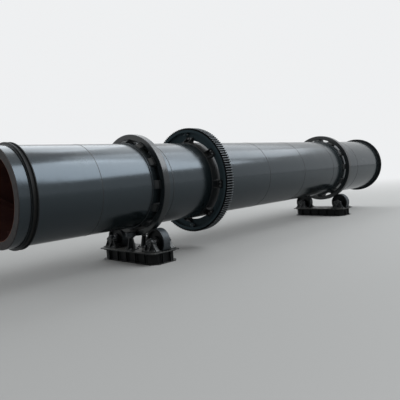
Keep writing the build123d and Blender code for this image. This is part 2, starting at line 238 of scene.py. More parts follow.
def put(tree, socket, value):
    """Link a socket, or set its value. A colour may leave out its alpha."""
    if isinstance(value, bpy.types.NodeSocket):
        tree.links.new(value, socket)
    elif socket.type == "RGBA" and len(value) == 3:
        socket.default_value = (*value, 1.0)
    else:
        socket.default_value = value


def feed(tree, node, **inputs):
    """Link or set a node's inputs, with _ for a space in a name."""
    for label, value in inputs.items():
        put(tree, node.inputs[label.replace("_", " ")], value)


def add(tree, kind, inputs=None, **settings):
    """Add a node, set its properties, then link or set its inputs."""
    node = tree.nodes.new(kind)
    for key, value in settings.items():
        setattr(node, key, value)
    for key, value in (inputs or {}).items():
        put(tree, node.inputs[key], value)
    return node


def ramp(tree, factor, low, high):
    """Value that rises smoothly from 0 at low to 1 at high."""
    inputs = {"Value": factor, "From Min": low, "From Max": high}
    return add(tree, "ShaderNodeMapRange", inputs, interpolation_type="SMOOTHSTEP").outputs["Result"]


def math_node(tree, operation, first, second=0.0):
    """Result of a maths node."""
    return add(tree, "ShaderNodeMath", {0: first, 1: second}, operation=operation).outputs[0]


def times(tree, first, second):
    """Product of two values."""
    return math_node(tree, "MULTIPLY", first, second)


def plus(tree, first, second):
    """Sum of two values."""
    return math_node(tree, "ADD", first, second)


def minus(tree, first, second):
    """First value less the second."""
    return math_node(tree, "SUBTRACT", first, second)


def own_place(tree):
    """Place on the piece itself, in metres."""
    return add(tree, "ShaderNodeTexCoord").outputs["Object"]


def mix_colour(tree, factor, first, second):
    """Colour mixed from two by a factor."""
    return add(tree, "ShaderNodeMix", {0: factor, 6: first, 7: second}, data_type="RGBA").outputs[2]


def noise(tree, place, scale, detail, roughness):
    """Fractal noise value at a place."""
    inputs = {"Vector": place, "Scale": scale, "Detail": detail, "Roughness": roughness}
    return add(tree, "ShaderNodeTexNoise", inputs).outputs["Fac"]


def stretched(tree, place, scale):
    """Object place scaled by axis, for a pattern that runs one way."""
    return add(tree, "ShaderNodeMapping", {"Vector": place, "Scale": scale}).outputs["Vector"]


def make_dust_group():
    """Dust that settles on upward faces, in drifts, over any colour."""
    inputs = [
        ("Color", COLOUR, (0.1, 0.1, 0.1, 1.0)),
        ("Dust Color", COLOUR, (0.30, 0.27, 0.23, 1.0)),
        ("Amount", VALUE, 0.5),
        ("Scale", VALUE, 6.0),
    ]
    outputs = [("Color", COLOUR), ("Mask", VALUE)]
    tree, start, end = empty_group("Settled dust", "ShaderNodeTree", inputs, outputs)
    coords = add(tree, "ShaderNodeTexCoord")
    split = add(tree, "ShaderNodeSeparateXYZ", {"Vector": coords.outputs["Normal"]})
    upward = ramp(tree, split.outputs["Z"], 0.15, 0.95)
    drift = noise(tree, coords.outputs["Object"], start.outputs["Scale"], 5.0, 0.6)
    drift = ramp(tree, drift, 0.35, 0.70)
    mask = times(tree, times(tree, upward, drift), start.outputs["Amount"])
    colour = mix_colour(tree, mask, start.outputs["Color"], start.outputs["Dust Color"])
    feed(tree, end, Color=colour, Mask=mask)
    return tree


def make_wear_group():
    """Paint worn thin along edges, found from the rounded normal; on the base, deck and pedestals it is also a
    painted highlight along their lit edges.
    """
    inputs = [
        ("Color", COLOUR, (0.1, 0.1, 0.1, 1.0)),
        ("Wear Color", COLOUR, (0.35, 0.35, 0.35, 1.0)),
        ("Width", VALUE, 0.004),
        ("Amount", VALUE, 0.6),
        ("Scale", VALUE, 40.0),
    ]
    outputs = [("Color", COLOUR)]
    tree, start, end = empty_group("Edge wear", "ShaderNodeTree", inputs, outputs)
    bevel = add(tree, "ShaderNodeBevel", {"Radius": start.outputs["Width"]}, samples=4)
    geometry = add(tree, "ShaderNodeNewGeometry")
    normals = {0: bevel.outputs["Normal"], 1: geometry.outputs["Normal"]}
    dot = add(tree, "ShaderNodeVectorMath", normals, operation="DOT_PRODUCT")
    edge = ramp(tree, minus(tree, 1.0, dot.outputs["Value"]), 0.01, 0.12)
    patches = noise(tree, own_place(tree), start.outputs["Scale"], 4.0, 0.65)
    patches = ramp(tree, patches, 0.42, 0.62)
    mask = times(tree, times(tree, edge, patches), start.outputs["Amount"])
    colour = mix_colour(tree, mask, start.outputs["Color"], start.outputs["Wear Color"])
    feed(tree, end, Color=colour)
    return tree


def make_grain_group():
    """Fine orange peel, sprayed haze and colour drift of a paint coat."""
    inputs = [
        ("Color", COLOUR, (0.1, 0.1, 0.1, 1.0)),
        ("Drift", VALUE, 0.15),
        ("Peel Scale", VALUE, 260.0),
        ("Roughness", VALUE, 0.35),
    ]
    outputs = [("Color", COLOUR), ("Roughness", VALUE), ("Height", VALUE)]
    tree, start, end = empty_group("Paint grain", "ShaderNodeTree", inputs, outputs)
    place = own_place(tree)
    broad = noise(tree, place, 1.7, 4.0, 0.55)
    fine = noise(tree, place, 23.0, 5.0, 0.6)
    peel = noise(tree, place, start.outputs["Peel Scale"], 2.0, 0.5)
    drift = plus(tree, times(tree, broad, 0.7), times(tree, fine, 0.3))
    drift = times(tree, minus(tree, drift, 0.5), start.outputs["Drift"])
    gain = {0: start.outputs["Color"], "Scale": plus(tree, 1.0, times(tree, drift, 4.0))}
    colour = add(tree, "ShaderNodeVectorMath", gain, operation="SCALE").outputs["Vector"]
    rough = plus(tree, start.outputs["Roughness"], times(tree, drift, 1.2))
    feed(tree, end, Color=colour, Roughness=rough, Height=peel)
    return tree


def make_turning_group():
    """Fine tool marks that run round a turned face, on its own UV map."""
    inputs = [("Pitch", VALUE, 900.0)]
    outputs = [("Height", VALUE), ("Tone", VALUE)]
    tree, start, end = empty_group("Turning marks", "ShaderNodeTree", inputs, outputs)
    coords = add(tree, "ShaderNodeTexCoord")
    marks = stretched(tree, coords.outputs["UV"], (0.25, 1.0, 1.0))
    marks = noise(tree, marks, start.outputs["Pitch"], 2.0, 0.6)
    bands = noise(tree, stretched(tree, coords.outputs["UV"], (0.3, 1.0, 1.0)), 60.0, 3.0, 0.6)
    feed(tree, end, Height=marks, Tone=bands)
    return tree


GROUPS = {
    "dust": make_dust_group(),
    "wear": make_wear_group(),
    "grain": make_grain_group(),
    "turning": make_turning_group(),
}


def grouped(tree, name, **inputs):
    """Place a shared effect in a material with its own values."""
    node = add(tree, "ShaderNodeGroup", node_tree=GROUPS[name])
    feed(tree, node, **inputs)
    return node


def blank_material(name):
    """Material with a bare Principled BSDF wired to its output."""
    material = bpy.data.materials.new(name)
    material.use_nodes = True
    tree = material.node_tree
    return material, tree, tree.nodes["Principled BSDF"]


def bump(tree, shader, height, distance):
    """Feed a height into the shader's normal."""
    node = add(tree, "ShaderNodeBump", {"Height": height, "Distance": distance})
    feed(tree, shader, Normal=node.outputs["Normal"])


def painted(name, colour, rough, wear, wear_and_highlight_colour, dust, ior):
    """Sprayed enamel: colour drift, orange peel, worn edges and dust; on the base, deck and pedestals the light
    worn edges are partly painted highlight.
    """
    material, tree, shader = blank_material(name)
    grain = grouped(tree, "grain", Color=colour, Drift=0.10, Roughness=rough)
    worn = grouped(tree, "wear", Color=grain.outputs["Color"], Wear_Color=wear_and_highlight_colour, Amount=wear)
    dusty = grouped(tree, "dust", Color=worn.outputs["Color"], Amount=dust)
    rough_end = plus(tree, grain.outputs["Roughness"], times(tree, dusty.outputs["Mask"], 0.5))
    feed(tree, shader, Base_Color=dusty.outputs["Color"], Roughness=rough_end, IOR=ior)
    bump(tree, shader, grain.outputs["Height"], 0.00006)
    return material


def about_drum(tree, place):
    """Distance of a place from the drum's axis."""
    moved = add(tree, "ShaderNodeVectorMath", {0: place, 1: tuple(AXIS)}, operation="SUBTRACT")
    flat = add(tree, "ShaderNodeVectorMath", {0: moved.outputs[0], 1: (0.0, 1.0, 1.0)}, operation="MULTIPLY")
    return add(tree, "ShaderNodeVectorMath", {0: flat.outputs[0]}, operation="LENGTH").outputs["Value"]


def window(tree, value, low, high, soft):
    """Mask that is 1 between two values and fades to 0 outside them."""
    rise = ramp(tree, value, low - soft, low + soft)
    fall = ramp(tree, value, high - soft, high + soft)
    return minus(tree, rise, fall)


def shell_paint():
    """Dark blue-grey gloss enamel of the drum: haze, streaks and fine scratches."""
    material, tree, shader = blank_material("shell paint")
    place = own_place(tree)
    split = add(tree, "ShaderNodeSeparateXYZ", {"Vector": place})
    grain = grouped(tree, "grain", Color=(0.0085, 0.0125, 0.0140), Drift=0.06, Roughness=0.18)
    streaks = noise(tree, stretched(tree, place, (7.0, 0.6, 0.6)), 3.0, 5.0, 0.6)
    streaks = ramp(tree, streaks, 0.52, 0.80)
    hazed = mix_colour(tree, times(tree, streaks, 0.20), grain.outputs["Color"], (0.030, 0.034, 0.036))
    rubbed = noise(tree, stretched(tree, place, (1.2, 1.0, 55.0)), 5.0, 3.0, 0.7)
    rubbed = ramp(tree, rubbed, 0.61, 0.67)
    rubbed = times(tree, rubbed, window(tree, split.outputs["X"], *RUBBED_ALONG, 0.15))
    rubbed = times(tree, rubbed, window(tree, split.outputs["Z"], *RUBBED_UP, 0.05))
    hazed = mix_colour(tree, times(tree, rubbed, 0.8), hazed, (0.30, 0.31, 0.31))
    worn = grouped(tree, "wear", Color=hazed, Wear_Color=(0.11, 0.115, 0.12), Amount=0.5)
    dusty = grouped(tree, "dust", Color=worn.outputs["Color"], Amount=0.08, Scale=3.0)
    feed(tree, shader, Base_Color=dusty.outputs["Color"])
    rough = plus(tree, grain.outputs["Roughness"], times(tree, streaks, 0.08))
    rough = plus(tree, rough, times(tree, dusty.outputs["Mask"], 0.4))
    # The blue specular tint is painted reflection colour: it gives the highlights the blue of a sky
    feed(tree, shader, Roughness=rough, IOR=1.60, Specular_Tint=(0.76, 0.89, 1.0))
    waves = noise(tree, place, 1.9, 2.0, 0.45)
    height = plus(tree, times(tree, waves, 0.0035), times(tree, grain.outputs["Height"], 0.00003))
    bump(tree, shader, height, 1.0)
    return material


def primer():
    """Red lead primer inside the drum, darkened well below its own colour as painted shade of the unlit inside:
    matt, stained and worn at its edges.
    """
    material, tree, shader = blank_material("red primer")
    place = own_place(tree)
    stain = ramp(tree, noise(tree, place, 5.0, 6.0, 0.65), 0.35, 0.70)
    # Both reds lie far below red lead: painted shade for the inside of the drum, where little light reaches
    colour = mix_colour(tree, stain, (0.045, 0.010, 0.007), (0.080, 0.024, 0.016))
    worn = grouped(tree, "wear", Color=colour, Wear_Color=(0.30, 0.13, 0.08), Amount=0.8)
    feed(tree, shader, Base_Color=worn.outputs["Color"], Roughness=0.75)
    bump(tree, shader, noise(tree, place, 140.0, 4.0, 0.6), 0.0006)
    return material


def mouth_paint():
    """Retaining ring: dusty grey face, with red primer showing at its bore."""
    material, tree, shader = blank_material("mouth paint")
    place = own_place(tree)
    patches = noise(tree, place, 14.0, 5.0, 0.65)
    edge = plus(tree, about_drum(tree, place), times(tree, patches, 0.020))
    dull = ramp(tree, patches, 0.3, 0.7)
    grey = mix_colour(tree, dull, (0.020, 0.018, 0.018), (0.036, 0.031, 0.030))
    colour = mix_colour(tree, ramp(tree, edge, *MOUTH_EDGE), (0.20, 0.060, 0.030), grey)
    worn = grouped(tree, "wear", Color=colour, Wear_Color=(0.26, 0.15, 0.11), Amount=0.7)
    feed(tree, shader, Base_Color=worn.outputs["Color"], Roughness=0.6, IOR=1.30)
    bump(tree, shader, noise(tree, place, 160.0, 4.0, 0.6), 0.0004)
    return material


def seal_paint():
    """Seal rings: sides in the drum's paint, rims and groove black with grease."""
    material, tree, shader = blank_material("seal ring paint")
    coords = add(tree, "ShaderNodeTexCoord")
    split = add(tree, "ShaderNodeSeparateXYZ", {"Vector": coords.outputs["Normal"]})
    side = ramp(tree, math_node(tree, "ABSOLUTE", split.outputs["X"]), 0.35, 0.75)
    smear = noise(tree, stretched(tree, coords.outputs["Object"], (6.0, 1.0, 1.0)), 9.0, 5.0, 0.65)
    grain = grouped(tree, "grain", Color=(0.011, 0.015, 0.017), Drift=0.08, Roughness=0.30)
    smeared = ramp(tree, smear, 0.35, 0.70)
    grease = mix_colour(tree, smeared, (0.0025, 0.0028, 0.003), (0.009, 0.009, 0.008))
    colour = mix_colour(tree, side, grease, grain.outputs["Color"])
    worn = grouped(tree, "wear", Color=colour, Wear_Color=(0.10, 0.105, 0.11), Amount=0.8)
    feed(tree, shader, Base_Color=worn.outputs["Color"])
    rough = minus(tree, 0.50, times(tree, side, 0.18))
    feed(tree, shader, Roughness=plus(tree, rough, times(tree, smear, 0.08)), IOR=1.28)
    bump(tree, shader, plus(tree, smear, grain.outputs["Height"]), 0.0003)
    return material


def shaft_steel():
    """Turned bright steel with tool marks and a thin film of rust."""
    material, tree, shader = blank_material("turned shafts")
    marks = grouped(tree, "turning", Pitch=900.0)
    rust = ramp(tree, noise(tree, own_place(tree), 28.0, 6.0, 0.7), 0.56, 0.78)
    tone = ramp(tree, marks.outputs["Tone"], 0.25, 0.75)
    base = mix_colour(tree, tone, (0.324, 0.324, 0.3312), (0.45, 0.45, 0.46))
    base = mix_colour(tree, times(tree, rust, 0.45), base, (0.16, 0.09, 0.055))
    feed(tree, shader, Base_Color=base, Roughness=plus(tree, 0.28, times(tree, rust, 0.35)), Metallic=1.0)
    bump(tree, shader, marks.outputs["Height"], 0.00012)
    return material


def gear_paint():
    """Gear: blue-grey painted sides, black greasy roots darkened further as painted shade between the teeth, and
    lighter tooth crests.
    """
    material, tree, shader = blank_material("gear paint")
    place = own_place(tree)
    reach_out = about_drum(tree, place)
    grain = grouped(tree, "grain", Color=(0.058, 0.086, 0.098), Drift=0.10, Roughness=0.38)
    worn = grouped(tree, "wear", Color=grain.outputs["Color"], Wear_Color=(0.09, 0.10, 0.105), Amount=0.7)
    dusty = grouped(tree, "dust", Color=worn.outputs["Color"], Amount=0.25)
    patches = noise(tree, place, 35.0, 5.0, 0.65)
    tips = ramp(tree, reach_out, *GEAR_CREST)
    # Band between the teeth that goes near black: partly grease, partly painted shade in the gaps
    grease_and_shade = minus(tree, ramp(tree, reach_out, *GEAR_ROOT), tips)
    crest = times(tree, tips, ramp(tree, patches, 0.25, 0.50))
    # Roots mixed to near black, as grease and painted shade between the teeth
    colour = mix_colour(tree, times(tree, grease_and_shade, 0.96), dusty.outputs["Color"], (0.0015, 0.0015, 0.0015))
    colour = mix_colour(tree, crest, colour, (0.142, 0.150, 0.157))
    rough = plus(tree, grain.outputs["Roughness"], times(tree, dusty.outputs["Mask"], 0.4))
    feed(tree, shader, Base_Color=colour, Metallic=times(tree, crest, 0.35), Roughness=rough, IOR=1.10)
    bump(tree, shader, grain.outputs["Height"], 0.00008)
    return material


def roller_steel():
    """Rollers: bare running band, and faces and recesses painted near black, partly their dark paint and partly
    painted shade from the drum above.
    """
    material, tree, shader = blank_material("roller steel")
    marks = grouped(tree, "turning", Pitch=700.0)
    bare = add(tree, "ShaderNodeAttribute", attribute_name="bare").outputs["Fac"]
    # Near-black face colour: partly dark paint, partly painted shade under the drum
    grain = grouped(tree, "grain", Color=(0.004, 0.0052, 0.0058), Drift=0.12, Roughness=0.42)
    worn = grouped(tree, "wear", Color=grain.outputs["Color"], Wear_Color=(0.12, 0.125, 0.13), Amount=0.8)
    tone = ramp(tree, marks.outputs["Tone"], 0.25, 0.75)
    steel = mix_colour(tree, tone, (0.036, 0.043, 0.048), (0.066, 0.074, 0.080))
    rust = ramp(tree, noise(tree, own_place(tree), 24.0, 6.0, 0.7), 0.55, 0.80)
    steel = mix_colour(tree, times(tree, rust, 0.35), steel, (0.14, 0.10, 0.075))
    colour = mix_colour(tree, bare, worn.outputs["Color"], steel)
    rough = plus(tree, grain.outputs["Roughness"], times(tree, rust, 0.2))
    feed(tree, shader, Base_Color=colour, Metallic=times(tree, bare, 0.30), Roughness=rough, IOR=1.25)
    bump(tree, shader, times(tree, marks.outputs["Height"], bare), 0.00010)
    return material


def weld_metal():
    """Brushed-over weld beads, darker and rougher than the plates beside them."""
    material, tree, shader = blank_material("painted welds")
    spatter = noise(tree, own_place(tree), 180.0, 4.0, 0.7)
    clean = ramp(tree, spatter, 0.35, 0.7)
    colour = mix_colour(tree, clean, (0.003, 0.004, 0.0045), (0.014, 0.016, 0.017))
    dusty = grouped(tree, "dust", Color=colour, Amount=0.35, Scale=9.0)
    feed(tree, shader, Base_Color=dusty.outputs["Color"], Roughness=0.5)
    bump(tree, shader, spatter, 0.0006)
    return material


def galvanised():
    """Zinc plated fasteners with a dull spangle."""
    material, tree, shader = blank_material("plated fasteners")
    place = own_place(tree)
    tone = ramp(tree, noise(tree, place, 90.0, 3.0, 0.6), 0.3, 0.7)
    colour = mix_colour(tree, tone, (0.10, 0.105, 0.11), (0.19, 0.195, 0.20))
    feed(tree, shader, Base_Color=colour, Metallic=0.7, Roughness=0.45)
    bump(tree, shader, noise(tree, place, 600.0, 2.0, 0.5), 0.0001)
    return material


# name, colour, roughness, wear, wear colour, dust and index of refraction
PAINTS = {
    "tyre_steel": ("tyre paint", (0.010, 0.014, 0.0155), 0.22, 0.5, (0.10, 0.11, 0.115), 0.12, 1.5),
    # Base, deck and pedestals: strong, light worn edges, partly wear and partly painted highlight where their
    # edges catch the light
    "base_paint": ("base paint", (0.004, 0.0048, 0.0052), 0.38, 1.0, (0.11, 0.115, 0.115), 0.12, 1.22),
    "deck": ("deck paint", (0.026, 0.029, 0.029), 0.45, 1.2, (0.22, 0.215, 0.20), 0.35, 1.40),
    "pedestals": ("pedestal paint", (0.011, 0.014, 0.0155), 0.34, 1.2, (0.20, 0.21, 0.21), 0.25, 1.45),
    "pads": ("pad paint", (0.008, 0.010, 0.011), 0.48, 0.8, (0.08, 0.09, 0.09), 0.15, 1.38),
}
MATERIALS = {key: painted(*finish) for key, finish in PAINTS.items()}
MATERIALS |= {
    "shell_paint": shell_paint(),
    "primer": primer(),
    "mouth": mouth_paint(),
    "seal_rings": seal_paint(),
    "gear_steel": gear_paint(),
    "roller_steel": roller_steel(),
    "shaft_steel": shaft_steel(),
    "welds": weld_metal(),
    "fasteners": galvanised(),
}


# Turned pieces

def rounded(points, radius, steps):
    """Closed outline with each corner replaced by a short curve.

    A point beside each curve keeps the shading of a long straight run flat.
    """
    result = []
    count = len(points)
    for i in range(count):
        here = Vector(points[i])
        before = Vector(points[i - 1]) - here
        after = Vector(points[(i + 1) % count]) - here
        size = min(radius, CORNER_SHARE * before.length, CORNER_SHARE * after.length)
        if here.y <= 0 or before.angle(after) > NEARLY_STRAIGHT:
            result.append(tuple(here))
            continue
        first = here + before.normalized() * size
        last = here + after.normalized() * size
        if before.length > LONG_RUN * size:
            result.append(tuple(here + before.normalized() * size * GUARD_STEP))
        for step in range(steps + 1):
            t = step / steps
            result.append(tuple(first * (1 - t) ** 2 + here * (2 * t * (1 - t)) + last * t ** 2))
        if after.length > LONG_RUN * size:
            result.append(tuple(here + after.normalized() * size * GUARD_STEP))
    return result


def turned_mesh(name, outline, place, facets, upright):
    """Mesh turned from a closed outline of (along, radius) points.

    The line of turning runs along X, or along Z where it is upright. The UV
    map holds real lengths: round the piece, then along its outline.
    """
    count = len(outline)
    run = [0.0]
    for i in range(count):
        run.append(run[-1] + (Vector(outline[(i + 1) % count]) - Vector(outline[i])).length)
    vertices = []
    for j in range(facets):
        angle = 2 * math.pi * j / facets
        for along, radius in outline:
            a, b = radius * math.cos(angle), radius * math.sin(angle)
            local = Vector((a, b, along)) if upright else Vector((along, a, b))
            vertices.append(local + place)
    faces = []
    lengths = []
    outer = max(radius for _, radius in outline)
    for j in range(facets):
        following = (j + 1) % facets
        for i in range(count):
            up = (i + 1) % count
            faces.append((j * count + i, j * count + up, following * count + up, following * count + i))
            u0 = 2 * math.pi * outer * j / facets
            u1 = 2 * math.pi * outer * (j + 1) / facets
            lengths.append(((u0, run[i]), (u0, run[i + 1]), (u1, run[i + 1]), (u1, run[i])))
    mesh = bpy.data.meshes.new(name)
    mesh.from_pydata(vertices, [], faces)
    layer = mesh.uv_layers.new(name="turned")
    for face, corners in enumerate(lengths):
        for k in range(4):
            layer.data[4 * face + k].uv = corners[k]
    work = bmesh.new()
    work.from_mesh(mesh)
    bmesh.ops.remove_doubles(work, verts=work.verts, dist=TURNED_MERGE)
    bmesh.ops.recalc_face_normals(work, faces=work.faces)
    work.to_mesh(mesh)
    work.free()
    mesh.shade_smooth()
    mesh.set_sharp_from_angle(angle=TURNED_SHARP)
    return mesh


def show(name, mesh, body, material, nodes=()):
    """Put a finished mesh in the scene on its body."""
    piece = bpy.data.objects.new(name, mesh)
    bpy.context.scene.collection.objects.link(piece)
    mesh.materials.clear()
    mesh.materials.append(material)
    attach(piece, body)
    if nodes:
        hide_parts(*nodes)
    return piece


def turned_piece(node, outline, place, radius, facets=DRUM_FACETS, upright=False, material=None, steps=3):
    """Turned piece that stands for one node of the frame."""
    mesh = turned_mesh(node + "_turned", rounded(outline, radius, steps), place, facets, upright)
    slot = SLOT_OF[node]
    return show(node + "_turned", mesh, BODY_OF[node], material or MATERIALS[slot], [node])


def band(node, inner):
    """Rectangular outline of a plain ring, from its box and bore."""
    low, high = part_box(node)
    outer = reach(node)
    return [(low.x, inner), (low.x, outer), (high.x, outer), (high.x, inner)]


def shell_pieces():
    """Shell courses, the rings at both ends, the tyres and their bands."""
    on_axis = Vector((0, AXIS.y, AXIS.z))
    courses = sorted(node for node in frame["nodes"] if node.startswith("shell_course_"))
    for node in courses:
        piece = turned_piece(node, band(node, SHELL_INNER), on_axis, SHELL_ROUND, steps=2)
        piece.data.materials.append(MATERIALS["primer"])
        limit = (SHELL_INNER + reach(node)) / 2
        for face in piece.data.polygons:
            centre = face.center - on_axis
            if math.hypot(centre.y, centre.z) < limit:
                face.material_index = 1
    ring = band("feed_retaining_ring", RETAINING_BORE)
    turned_piece("feed_retaining_ring", ring, on_axis, MOUTH_ROUND, material=MATERIALS["mouth"])
    shell = reach(courses[0])
    for end in ENDS:
        node = end + "_seal_ring"
        low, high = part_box(node)
        outer = reach(node)
        groove = shell + SEAL_BAND
        left, right = low.x + SEAL_FLANGE, high.x - SEAL_FLANGE
        outline = [(low.x, shell), (low.x, outer), (left, outer), (left, groove)]
        outline += [(right, groove), (right, outer), (high.x, outer), (high.x, shell)]
        turned_piece(node, outline, on_axis, RING_ROUND, material=MATERIALS["seal_rings"])
        turned_piece(end + "_tyre", band(end + "_tyre", TYRE_BORE), on_axis, TYRE_ROUND)
        turned_piece(end + "_tyre_band", band(end + "_tyre_band", SHELL_OUTER), on_axis, RING_ROUND)


def mark_bare(piece, place, radius, upright=False):
    """Write 1 on the corners of a roller that lie on its running band."""
    layer = piece.data.attributes.new("bare", "FLOAT", "POINT")
    for vertex in piece.data.vertices:
        out = vertex.co - place
        across = math.hypot(out.x, out.y) if upright else math.hypot(out.y, out.z)
        layer.data[vertex.index].value = 1.0 if across > radius else 0.0


def roller_pieces():
    """Support rollers, their shafts and the thrust rollers."""
    for end in ENDS:
        for side in SIDES:
            node = f"{end}_{side}_roller"
            place = middle(node)
            low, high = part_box(node)
            half = (high.x - low.x) / 2
            outer = (high.z - low.z) / 2
            web = half - ROLLER_RECESS
            right = [(half, SHAFT_SEAT), (half, ROLLER_HUB), (web, ROLLER_HUB + ROLLER_DRAFT)]
            right += [(web, outer - ROLLER_RIM - ROLLER_DRAFT), (half, outer - ROLLER_RIM), (half, outer)]
            outline = right + [(-x, r) for x, r in reversed(right)]
            piece = turned_piece(node, outline, place, ROLLER_ROUND, ROLLER_FACETS)
            mark_bare(piece, place, outer - RUNNING_EDGE)
            node = f"{end}_{side}_shaft"
            place = middle(node)
            low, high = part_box(node)
            tip = (high.x - low.x) / 2
            outline = [(-tip, 0), (-tip, SHAFT_JOURNAL), (-SHAFT_SHOULDER, SHAFT_JOURNAL)]
            outline += [(-SHAFT_SHOULDER, SHAFT_SEAT), (SHAFT_SHOULDER, SHAFT_SEAT)]
            outline += [(SHAFT_SHOULDER, SHAFT_JOURNAL), (tip, SHAFT_JOURNAL), (tip, 0)]
            turned_piece(node, outline, place, RING_ROUND, SHAFT_FACETS)
    for node in THRUST_ROLLERS:
        place = middle(node)
        low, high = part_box(node)
        half = (high.z - low.z) / 2
        outer = (high.x - low.x) / 2
        outline = [(-half, THRUST_BORE), (-half, outer), (half, outer), (half, THRUST_BORE)]
        piece = turned_piece(node, outline, place, ROLLER_ROUND, THRUST_FACETS, upright=True)
        mark_bare(piece, place, outer - RUNNING_EDGE, upright=True)


# Plates, castings and teeth with rounded edges

def softened(node, width, material=None, steps=2):
    """Copy of a node with its facets joined and its edges rounded."""
    mesh = frame["nodes"][node].data.copy()
    mesh.name = node + "_plate"
    work = bmesh.new()
    work.from_mesh(mesh)
    bmesh.ops.remove_doubles(work, verts=work.verts, dist=PLATE_MERGE)
    bmesh.ops.dissolve_limit(work, angle_limit=FLAT_ANGLE, verts=work.verts, edges=work.edges)
    work.to_mesh(mesh)
    work.free()
    piece = bpy.data.objects.new(node + "_plate", mesh)
    bpy.context.scene.collection.objects.link(piece)
    mesh.shade_smooth()
    mesh.set_sharp_from_angle(angle=PLATE_SHARP)
    edge = piece.modifiers.new("edge", "BEVEL")
    edge.width = width
    edge.segments = steps
    edge.limit_method = "ANGLE"
    edge.angle_limit = PLATE_SHARP
    edge.harden_normals = True
    finished = bpy.data.meshes.new_from_object(piece.evaluated_get(bpy.context.evaluated_depsgraph_get()))
    bpy.data.objects.remove(piece)
    finished.name = node + "_plate"
    slot = SLOT_OF[node]
    show(node + "_plate", finished, BODY_OF[node], material or MATERIALS[slot], [node])


def plate_pieces():
    """Frames, decks, bearings, brackets, pads, gear halves and flights."""
    for end in ENDS:
        softened(end + "_base_frame", PLATE_ROUND)
        softened(end + "_deck_plate", PLATE_ROUND, MATERIALS["deck"])
        softened(end + "_tyre_pads", PLATE_ROUND, MATERIALS["pads"])
        for side in SIDES:
            softened(f"{end}_{side}_bearings", CASTING_ROUND, MATERIALS["pedestals"], steps=3)
    softened("feed_thrust_brackets", PLATE_ROUND, MATERIALS["pedestals"])
    softened("girth_gear_mounting_ring", PLATE_ROUND, MATERIALS["pads"])
    for side in SIDES:
        softened(f"girth_gear_{side}_half", TOOTH_ROUND, steps=1)
    softened("feed_flights", FLIGHT_ROUND, steps=1)
    for node in sorted(frame["nodes"]):
        if node.startswith("lifting_flights_"):
            softened(node, FLIGHT_ROUND, steps=1)


# Node trees for welds and fasteners

def close_tree(tree, shape, material, end):
    """Realize the instances, set the material and wire the output."""
    real = add(tree, "GeometryNodeRealizeInstances", {"Geometry": shape})
    finish = add(tree, "GeometryNodeSetMaterial", {"Geometry": real.outputs[0], "Material": material})
    feed(tree, end, Geometry=finish.outputs[0])


def make_weld_tree():
    """Rippled bead that follows every line of its mesh."""
    inputs = [
        ("Geometry", SHAPE),
        ("Bead Radius", VALUE, 0.007),
        ("Ripple Pitch", VALUE, 0.014),
        ("Ripple Height", VALUE, 0.0006),
        ("Wander", VALUE, 0.002),
        ("Seed", VALUE, 0.0),
        ("Material", "NodeSocketMaterial"),
    ]
    tree, start, end = empty_group("weld bead", "GeometryNodeTree", inputs, [("Geometry", SHAPE)])
    sock = start.outputs
    line = add(tree, "GeometryNodeMeshToCurve", {"Mesh": sock["Geometry"]})
    step = times(tree, sock["Ripple Pitch"], 0.5)
    line = add(tree, "GeometryNodeResampleCurve", {"Curve": line.outputs[0], "Length": step}, mode="LENGTH")
    along = add(tree, "GeometryNodeSplineParameter")
    store = tree.nodes.new("GeometryNodeCaptureAttribute")
    store.capture_items.new("FLOAT", "Along")
    feed(tree, store, Geometry=line.outputs[0], Along=along.outputs["Length"])
    ring = {"Resolution": BEAD_SIDES, "Radius": sock["Bead Radius"]}
    profile = add(tree, "GeometryNodeCurvePrimitiveCircle", ring)
    swept = {"Curve": store.outputs["Geometry"], "Profile Curve": profile.outputs[0], "Fill Caps": True}
    bead = add(tree, "GeometryNodeCurveToMesh", swept)
    turns = math_node(tree, "DIVIDE", store.outputs["Along"], sock["Ripple Pitch"])
    wave = math_node(tree, "SINE", times(tree, turns, 2 * math.pi))
    wave = times(tree, wave, sock["Ripple Height"])
    place = add(tree, "GeometryNodeInputPosition")
    lumps = {"Vector": place.outputs[0], "W": sock["Seed"], "Scale": LUMP_SCALE}
    rough = add(tree, "ShaderNodeTexNoise", lumps, noise_dimensions="4D")
    drift = times(tree, minus(tree, rough.outputs["Fac"], 0.5), sock["Wander"])
    normal = add(tree, "GeometryNodeInputNormal")
    away = {0: normal.outputs[0], "Scale": plus(tree, wave, drift)}
    push = add(tree, "ShaderNodeVectorMath", away, operation="SCALE")
    moved = add(tree, "GeometryNodeSetPosition", {"Geometry": bead.outputs[0], "Offset": push.outputs[0]})
    close_tree(tree, moved.outputs[0], sock["Material"], end)
    return tree


